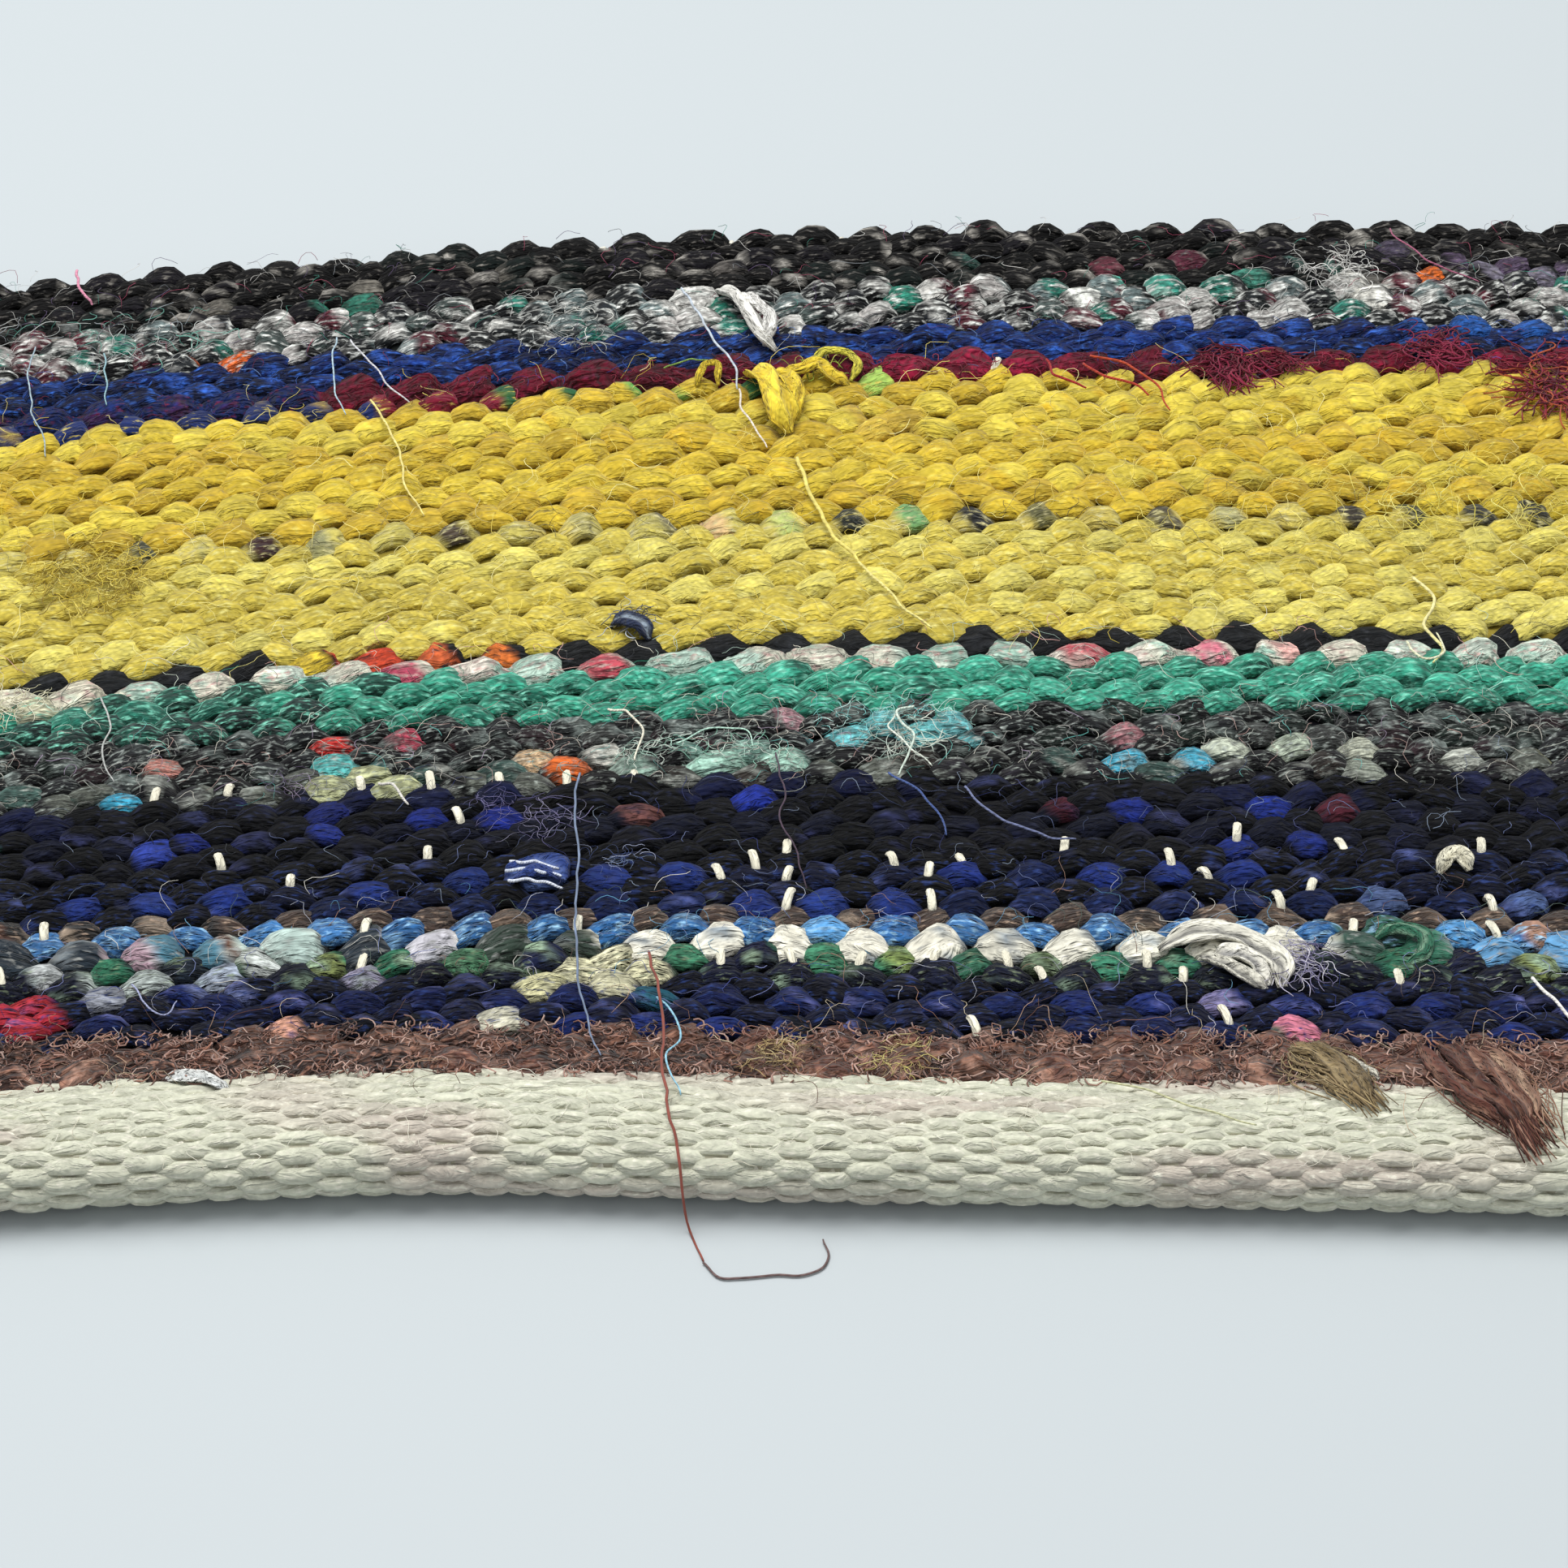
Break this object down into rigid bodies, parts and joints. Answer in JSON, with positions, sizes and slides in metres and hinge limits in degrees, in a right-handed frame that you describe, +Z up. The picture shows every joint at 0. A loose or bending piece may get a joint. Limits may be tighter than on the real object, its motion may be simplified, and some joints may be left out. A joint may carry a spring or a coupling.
{
  "type": "hemmed cut length of rag runner rug",
  "caption": "Flat cut length of striped hand-woven rag runner: ribbed weft bands over cotton warps, ending in a plump turned cotton hem.",
  "frame": {"origin": "on the floor, under the middle of the cloth's outline", "axes": "+X along the weft rows, +Y from the hem along the warps, +Z up"},
  "size_m": [0.2418, 0.1896, 0.0095],
  "materials": {
    "rag_cloth": "matt striped rag and cotton weave"
  },
  "bodies": {
    "root": {"rug": "rag_cloth"}
  },
  "joints": []
}
